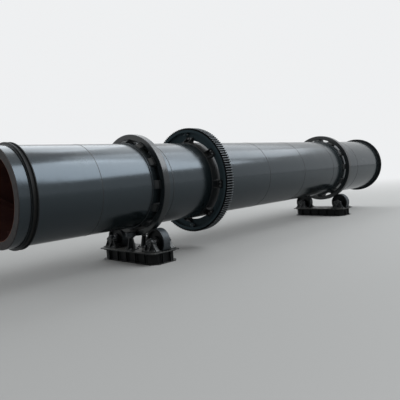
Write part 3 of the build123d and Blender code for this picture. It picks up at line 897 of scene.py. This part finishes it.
def make_fastener_tree():
    """Hexagon head on a washer with the end of its stud, on every point."""
    inputs = [
        ("Geometry", SHAPE),
        ("Across Flats", VALUE, 0.030),
        ("Head Height", VALUE, 0.013),
        ("Washer Radius", VALUE, 0.0185),
        ("Washer Thickness", VALUE, 0.003),
        ("Stud Radius", VALUE, 0.010),
        ("Stud Height", VALUE, 0.009),
        ("Seed", "NodeSocketInt", 7),
        ("Material", "NodeSocketMaterial"),
    ]
    tree, start, end = empty_group("fasteners", "GeometryNodeTree", inputs, [("Geometry", SHAPE)])
    sock = start.outputs
    corner = math_node(tree, "DIVIDE", sock["Across Flats"], math.sqrt(3))
    top = plus(tree, sock["Washer Thickness"], sock["Head Height"])
    parts = []

    def raise_part(shape, height):
        """Keep a part at a height over its point."""
        place = add(tree, "ShaderNodeCombineXYZ", {"Z": height})
        moved = {"Geometry": shape.outputs[0], "Translation": place.outputs[0]}
        parts.append(add(tree, "GeometryNodeTransform", moved).outputs[0])

    def cylinder(sides, radius, base, height):
        """Part with straight sides that stands on a base."""
        measures = {"Vertices": sides, "Radius": radius, "Depth": height}
        shape = add(tree, "GeometryNodeMeshCylinder", measures)
        raise_part(shape, plus(tree, base, times(tree, height, 0.5)))

    cylinder(WASHER_SIDES, sock["Washer Radius"], 0.0, sock["Washer Thickness"])
    cylinder(HEAD_SIDES, corner, sock["Washer Thickness"], sock["Head Height"])
    cylinder(STUD_SIDES, sock["Stud Radius"], top, sock["Stud Height"])
    depth, upper, lower = (times(tree, sock["Across Flats"], share) for share in CHAMFER_SHARES)
    chamfer = {"Vertices": STUD_SIDES, "Depth": depth, "Radius Top": upper, "Radius Bottom": lower}
    raise_part(add(tree, "GeometryNodeMeshCone", chamfer), top)
    joined = tree.nodes.new("GeometryNodeJoinGeometry")
    for part in parts:
        tree.links.new(part, joined.inputs[0])
    axis = add(tree, "GeometryNodeInputNamedAttribute", {"Name": "axis"}, data_type="FLOAT_VECTOR")
    size = add(tree, "GeometryNodeInputNamedAttribute", {"Name": "size"}, data_type="FLOAT")
    aimed = add(tree, "FunctionNodeAlignRotationToVector", {"Vector": axis.outputs["Attribute"]}, axis="Z")
    chance = add(tree, "FunctionNodeRandomValue", {"Seed": sock["Seed"]}, data_type="FLOAT")
    spin = times(tree, chance.outputs[1], math.pi)
    twist = add(tree, "FunctionNodeAxisAngleToRotation", {"Axis": (0.0, 0.0, 1.0), "Angle": spin})
    angles = {"Rotation": aimed.outputs[0], "Rotate By": twist.outputs[0]}
    turned = add(tree, "FunctionNodeRotateRotation", angles, rotation_space="LOCAL")
    copies = {"Points": sock["Geometry"], "Instance": joined.outputs[0], "Rotation": turned.outputs[0]}
    copies["Scale"] = size.outputs["Attribute"]
    placed = add(tree, "GeometryNodeInstanceOnPoints", copies)
    close_tree(tree, placed.outputs[0], sock["Material"], end)
    return tree


TREES = {"welds": make_weld_tree(), "fasteners": make_fastener_tree()}


def grow(name, mesh, kind, body, **values):
    """Run a geometry tree on a mesh and show the plain result on a body."""
    seed = bpy.data.objects.new(name, mesh)
    bpy.context.scene.collection.objects.link(seed)
    tree = TREES[kind]
    modifier = seed.modifiers.new(kind, "NODES")
    modifier.node_group = tree
    for item in tree.interface.items_tree:
        if item.item_type == "SOCKET" and item.in_out == "INPUT" and item.name != "Geometry":
            value = MATERIALS[kind] if item.name == "Material" else values.get(item.name.replace(" ", "_"))
            if value is not None:
                modifier[item.identifier] = value
    grown = bpy.data.meshes.new_from_object(seed.evaluated_get(bpy.context.evaluated_depsgraph_get()))
    bpy.data.objects.remove(seed)
    grown.name = name
    grown.shade_smooth()
    grown.set_sharp_from_angle(angle=TURNED_SHARP)
    show(name, grown, body, MATERIALS[kind])


def lines_mesh(name, lines):
    """Mesh of bare edges from lists of points, closed where so marked."""
    vertices = []
    edges = []
    for points, closed in lines:
        first = len(vertices)
        vertices += [tuple(point) for point in points]
        edges += [(first + i, first + i + 1) for i in range(len(points) - 1)]
        if closed:
            edges.append((len(vertices) - 1, first))
    mesh = bpy.data.meshes.new(name)
    mesh.from_pydata(vertices, edges, [])
    return mesh


def on_drum(x, radius, degrees):
    """Place at a radius and an angle round the drum, from its top towards -Y."""
    turn = math.radians(degrees)
    return Vector((x, AXIS.y - radius * math.sin(turn), AXIS.z + radius * math.cos(turn)))


def hoop(x, radius, start=0.0, finish=360.0, step=HOOP_STEP):
    """Line round the drum at one place along it, closed for a full turn."""
    closed = finish - start >= 360.0
    count = round((finish - start) / step)
    points = [on_drum(x, radius, start + step * i) for i in range(count + (0 if closed else 1))]
    return points, closed


def along_drum(start, finish, radius, degrees, count):
    """Straight line along the drum at one radius and angle, in equal steps."""
    run = [start + (finish - start) * i / count for i in range(count + 1)]
    return [on_drum(x, radius, degrees) for x in run], False


def drum_welds():
    """Butt seams between the courses and fillets along what is welded on."""
    seams = [cad_low.x + SEAM_START + SEAM_PITCH * i for i in range(SEAM_COUNT)]
    lines = [hoop(x, SHELL_OUTER - SEAM_SINK) for x in seams]
    edges = [cad_low.x] + seams + [cad_high.x]
    for first, last, angle in zip(edges, edges[1:], LONG_SEAM_ANGLES):
        start, finish = first + SEAM_MARGIN, last - SEAM_MARGIN
        lines.append(along_drum(start, finish, SHELL_OUTER - SEAM_SINK, angle, SEAM_STEPS))
    beads = lines_mesh("drum_seams", lines)
    grow("drum_seam_welds", beads, "welds", "drum", Bead_Radius=SEAM_BEAD, Seed=1.0)

    fillets = []
    for node in RINGS_ON_SHELL:
        low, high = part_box(node)
        fillets += [hoop(low.x, SHELL_OUTER), hoop(high.x, SHELL_OUTER)]
    for end in ENDS:
        node_low, node_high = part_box(end + "_tyre_pads")
        band_radius = reach(end + "_tyre_band")
        for i in range(PAD_COUNT):
            at = i * 360.0 / PAD_COUNT
            half = PAD_ANGLE / 2
            for x in (node_low.x, node_high.x):
                fillets.append(hoop(x, band_radius, at - half, at + half, PAD_HOOP_STEP))
            for side in (-half, half):
                fillets.append(along_drum(node_low.x, node_high.x, band_radius, at + side, PAD_STEPS))
    back = middle("girth_gear_front_half").x - GEAR_WEB / 2 - GEAR_PLATE
    half = GEAR_BRACKET_ANGLE / 2
    for i in range(GEAR_BRACKETS):
        at = GEAR_BRACKET_START + i * 360.0 / GEAR_BRACKETS
        inner = half - GEAR_RIB_ANGLE
        for x, reached in ((back + GEAR_PLATE, half), (back, inner)):
            fillets.append(hoop(x, GEAR_RING, at - reached, at + reached, BRACKET_HOOP_STEP))
        for side in (-half, -inner, inner, half):
            line = along_drum(back, back - GEAR_BRACKET_REACH, GEAR_RING, at + side, BRACKET_STEPS)
            fillets.append(line)
    beads = lines_mesh("drum_fillets", fillets)
    grow("drum_fillet_welds", beads, "welds", "drum", Bead_Radius=FILLET_BEAD, Seed=2.0)


def stiffener_welds(foot, top, out, across):
    """Both fillets of one upright plate between the flanges of a beam.

    The foot is where the plate meets the web, at the height of the lower
    flange. Out points away from the web, across along it.
    """
    depth = FRAME_WEB_DEPTH - STIFFENER_INSET
    lines = []
    for side in (-STIFFENER_HALF, STIFFENER_HALF):
        low = foot + across * side
        high = Vector((low.x, low.y, top))
        lines.append(([low + out * depth, low, high, high + out * depth], False))
    return lines


def support_welds():
    """Fillets of the base frames, bearing stands and thrust stands."""
    lines = []
    for end in ENDS:
        low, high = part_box(end + "_base_frame")
        centre = middle(end + "_base_frame")
        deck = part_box(end + "_deck_plate")[1].z
        long_x, long_y = (high.x - low.x) / 2, (high.y - low.y) / 2
        short_x, short_y = long_x - FRAME_CORNER, long_y - FRAME_CORNER
        plan = [(long_x, short_y), (short_x, long_y), (-short_x, long_y), (-long_x, short_y)]
        plan += [(-x, -y) for x, y in plan]
        lines.append(([Vector((centre.x + x, y, high.z)) for x, y in plan], True))
        bottom, top = low.z + FRAME_FLANGE, high.z - FRAME_FLANGE
        for side in (-1, 1):
            for y in STIFFENER_STEPS:
                foot = Vector((centre.x + side * (long_x - FRAME_WEB_DEPTH), y, bottom))
                lines += stiffener_welds(foot, top, Vector((side, 0, 0)), Vector((0, 1, 0)))
            for x in END_STIFFENER_STEPS:
                foot = Vector((centre.x + x, side * (long_y - FRAME_WEB_DEPTH), bottom))
                lines += stiffener_welds(foot, top, Vector((0, side, 0)), Vector((1, 0, 0)))
        for name in SIDES:
            roller = middle(f"{end}_{name}_roller")
            for hand in (-1, 1):
                x, z = roller.x + hand * BEARING_OFFSET, deck + BEARING_FOOT
                plan = [(-1, -1), (1, -1), (1, 1), (-1, 1)]
                places = [(x + a * STAND_HALF_DEPTH, roller.y + b * STAND_HALF_LENGTH) for a, b in plan]
                lines.append(([Vector((a, b, z)) for a, b in places], True))
    for node in THRUST_ROLLERS:
        centre = middle(node)
        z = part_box("feed_deck_plate")[1].z + THRUST_FOOT
        for a in (-1, 1):
            for b in (-1, 1):
                corner = (a * THRUST_HALF_RIB, b * THRUST_HALF_RIB)
                plan = [(a * THRUST_HALF_FOOT, corner[1]), corner, (corner[0], b * THRUST_HALF_FOOT)]
                lines.append(([Vector((centre.x + x, y, z)) for x, y in plan], False))
    beads = lines_mesh("support_fillets", lines)
    grow("support_welds", beads, "welds", "supports", Bead_Radius=SUPPORT_BEAD, Seed=3.0)


def fastener_set(name, body, places):
    """Fasteners of one body from a list of (place, axis, size)."""
    mesh = bpy.data.meshes.new(name + "_places")
    mesh.from_pydata([tuple(place) for place, _, _ in places], [], [])
    axes = mesh.attributes.new("axis", "FLOAT_VECTOR", "POINT")
    axes.data.foreach_set("vector", [value for _, axis, _ in places for value in axis])
    sizes = mesh.attributes.new("size", "FLOAT", "POINT")
    sizes.data.foreach_set("value", [size for _, _, size in places])
    grow(name, mesh, "fasteners", body)


def drum_fasteners():
    """Bolts through the gear's brackets and through its split lugs."""
    places = []
    gear = middle("girth_gear_front_half").x
    face = gear - GEAR_WEB / 2
    for i in range(GEAR_BRACKETS):
        centre = GEAR_BRACKET_START + i * 360.0 / GEAR_BRACKETS
        for off in (-BRACKET_BOLT_ANGLE, BRACKET_BOLT_ANGLE):
            head = on_drum(face - GEAR_PLATE, GEAR_BOLT_CIRCLE, centre + off)
            nut = on_drum(face + GEAR_WEB, GEAR_BOLT_CIRCLE, centre + off)
            places += [(head, (-1, 0, 0), GEAR_BOLT_SIZE), (nut, (1, 0, 0), GEAR_BOLT_SIZE)]
    for z in (LUG_BOLT_HEIGHT, -LUG_BOLT_HEIGHT):
        for x in (gear - LUG_BOLT_OFFSET, gear + LUG_BOLT_OFFSET):
            for side in (-1, 1):
                place = Vector((x, side * GEAR_LUG, AXIS.z + z))
                places.append((place, (0, side, 0), GEAR_BOLT_SIZE))
    fastener_set("drum_fasteners", "drum", places)


def support_fasteners():
    """Bolts of the bearing feet, caps and covers and of the thrust stands."""
    places = []
    for end in ENDS:
        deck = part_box(end + "_deck_plate")[1].z
        for side in SIDES:
            roller = middle(f"{end}_{side}_roller")
            low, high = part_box(f"{end}_{side}_bearings")
            for hand in (-1, 1):
                x = roller.x + hand * BEARING_OFFSET
                for dx in (-FOOT_BOLTS[0], FOOT_BOLTS[0]):
                    for dy in (-FOOT_BOLTS[1], FOOT_BOLTS[1]):
                        foot = Vector((x + dx, roller.y + dy, deck + BEARING_FOOT))
                        places.append((foot, (0, 0, 1), STAND_BOLT_SIZE))
                for dy in (-CAP_BOLTS[1], CAP_BOLTS[1]):
                    for dx in (-CAP_BOLTS[0], CAP_BOLTS[0]):
                        for up in (1, -1):
                            bolt = Vector((x + dx, roller.y + dy, roller.z + up * CAP_FLANGE))
                            places.append((bolt, (0, 0, up), STAND_BOLT_SIZE))
                nipple = Vector((x, roller.y, roller.z + BEARING_CAP - NIPPLE_SINK))
                places.append((nipple, (0, 0, 1), SMALL_BOLT_SIZE))
                face = high.x if hand > 0 else low.x
                for k in range(COVER_BOLTS):
                    turn = math.radians(360 / COVER_BOLTS * k + COVER_BOLT_START)
                    across, up = COVER_BOLT_CIRCLE * math.cos(turn), COVER_BOLT_CIRCLE * math.sin(turn)
                    cover = Vector((face, roller.y + across, roller.z + up))
                    places.append((cover, (hand, 0, 0), SMALL_BOLT_SIZE))
    for node in THRUST_ROLLERS:
        centre = middle(node)
        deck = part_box("feed_deck_plate")[1].z
        for dx in (-THRUST_BOLTS, THRUST_BOLTS):
            for dy in (-THRUST_BOLTS, THRUST_BOLTS):
                foot = Vector((centre.x + dx, dy, deck + THRUST_FOOT))
                places.append((foot, (0, 0, 1), STAND_BOLT_SIZE))
        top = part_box("feed_thrust_brackets")[1].z
        places.append((Vector((centre.x, 0, top)), (0, 0, 1), PIN_BOLT_SIZE))
    fastener_set("support_fasteners", "supports", places)


# Stage, light and camera

FLOOR_HALF = 60.0
FLOOR_COLOUR = (0.45, 0.44, 0.42)
# distances over which the floor fades into the background, where it is seen and where it is mirrored
SEEN_FADE = (4.5, 17.0)
MIRRORED_FADE = (24.0, 56.0)
BACKGROUND = (0.86, 0.87, 0.88)
SOFT_LIGHT = (0.95, 0.97, 1.0)
SOFT_GLOW = 0.20
VIEW_REACH = 200.0
SKY_COLOUR = (0.90, 0.95, 1.0)
SKY_DISTANCE = 36.0
# each panel's first and last turn, first and last rise and roll, in degrees, and its glow
SKY_PANELS = {
    "left sky": (-76.0, -28.0, 25.0, 64.0, 10.0, 5.0),
    "middle sky": (-28.0, 4.0, 29.0, 66.0, 10.0, 2.6),
    "right sky": (4.0, 44.0, 30.0, 62.0, 0.0, 1.3),
    "back sky": (44.0, 84.0, 30.0, 64.0, 0.0, 2.2),
    "rear sky": (84.0, 150.0, 16.0, 40.0, 0.0, 0.9),
}


def make_floor():
    """Pale floor that keeps the shadow and fades into the background."""
    mesh = bpy.data.meshes.new("floor")
    corners = [(x * FLOOR_HALF, y * FLOOR_HALF, 0) for x, y in ((-1, -1), (1, -1), (1, 1), (-1, 1))]
    mesh.from_pydata(corners, [], [(0, 1, 2, 3)])
    floor = bpy.data.objects.new("floor", mesh)
    bpy.context.scene.collection.objects.link(floor)
    material, tree, shader = blank_material("pale floor")
    feed(tree, shader, Base_Color=FLOOR_COLOUR, Roughness=0.9)
    narrowed = stretched(tree, own_place(tree), (0.6, 1.0, 1.0))
    distance = add(tree, "ShaderNodeVectorMath", {0: narrowed}, operation="LENGTH").outputs["Value"]
    seen = add(tree, "ShaderNodeLightPath")
    plain = times(tree, ramp(tree, distance, *SEEN_FADE), seen.outputs["Is Camera Ray"])
    mirrored = times(tree, ramp(tree, distance, *MIRRORED_FADE), seen.outputs["Is Glossy Ray"])
    fade = math_node(tree, "MAXIMUM", plain, mirrored)
    glow = add(tree, "ShaderNodeEmission", {"Color": BACKGROUND, "Strength": 1.0})
    blend = add(tree, "ShaderNodeMixShader", {0: fade, 1: shader.outputs[0], 2: glow.outputs[0]})
    feed(tree, tree.nodes["Material Output"], Surface=blend.outputs[0])
    mesh.materials.append(material)


def make_world():
    """Pale background where it is seen or mirrored, soft light elsewhere."""
    world = bpy.data.worlds.new("studio")
    bpy.context.scene.world = world
    world.use_nodes = True
    tree = world.node_tree
    tree.nodes.clear()
    seen = add(tree, "ShaderNodeLightPath")
    direct = math_node(tree, "MAXIMUM", seen.outputs["Is Camera Ray"], seen.outputs["Is Glossy Ray"])
    direct = math_node(tree, "MAXIMUM", direct, seen.outputs["Is Transmission Ray"])
    backdrop = add(tree, "ShaderNodeBackground", {"Color": BACKGROUND, "Strength": 1.0})
    light = add(tree, "ShaderNodeBackground", {"Color": SOFT_LIGHT, "Strength": SOFT_GLOW})
    mix = add(tree, "ShaderNodeMixShader", {0: direct, 1: light.outputs[0], 2: backdrop.outputs[0]})
    add(tree, "ShaderNodeOutputWorld", {"Surface": mix.outputs[0]})


def make_lamp(name, place, target, width, height, glow, roll):
    """Large soft lamp aimed at a point, with a brightness where 1 is white."""
    data = bpy.data.lights.new(name, "AREA")
    data.shape = "RECTANGLE"
    data.size = width
    data.size_y = height
    data.energy = glow * math.pi * width * height
    data.color = SKY_COLOUR
    lamp = bpy.data.objects.new(name, data)
    bpy.context.scene.collection.objects.link(lamp)
    aim = Vector(target) - Vector(place)
    turn = aim.to_track_quat("-Z", "Y").to_matrix().to_4x4() @ Matrix.Rotation(math.radians(roll), 4, "Z")
    lamp.matrix_world = Matrix.Translation(Vector(place)) @ turn
    lamp.visible_camera = False


def make_lights():
    """Sky panels round and above the drum, brightest where its near side mirrors them."""
    centre = Vector((0, 0, AXIS.z))
    for name, (first, last, low, high, roll, glow) in SKY_PANELS.items():
        turn, rise = math.radians((first + last) / 2), math.radians((low + high) / 2)
        width = 2 * SKY_DISTANCE * math.cos(rise) * math.tan(math.radians(last - first) / 2)
        height = 2 * SKY_DISTANCE * math.tan(math.radians(high - low) / 2)
        out = Vector((math.cos(rise) * math.cos(turn), math.cos(rise) * math.sin(turn), math.sin(rise)))
        make_lamp(name, centre + SKY_DISTANCE * out, centre, width, height, glow, roll)


def make_camera():
    """Camera at the photograph's place and angle."""
    turn, pitch, roll = (math.radians(a) for a in (CAMERA_TURN, CAMERA_PITCH, CAMERA_ROLL))
    forward = Vector((math.cos(pitch) * math.cos(turn), math.cos(pitch) * math.sin(turn), math.sin(pitch)))
    level = Vector((math.sin(turn), -math.cos(turn), 0.0))
    up = level.cross(forward)
    right = level * math.cos(roll) + up * math.sin(roll)
    above = up * math.cos(roll) - level * math.sin(roll)
    data = bpy.data.cameras.new("camera")
    data.sensor_width = SENSOR_WIDTH
    data.lens = FOCAL_PIXELS / IMAGE_SIZE * SENSOR_WIDTH
    data.clip_end = VIEW_REACH
    camera = bpy.data.objects.new("camera", data)
    bpy.context.scene.collection.objects.link(camera)
    turn_matrix = Matrix((right, above, -forward)).transposed().to_4x4()
    camera.matrix_world = Matrix.Translation(Vector(CAMERA_PLACE)) @ turn_matrix
    bpy.context.scene.camera = camera


bpy.context.scene.view_settings.view_transform = "Standard"
make_camera()
shell_pieces()
roller_pieces()
plate_pieces()
drum_welds()
support_welds()
drum_fasteners()
support_fasteners()
make_floor()
make_world()
make_lights()
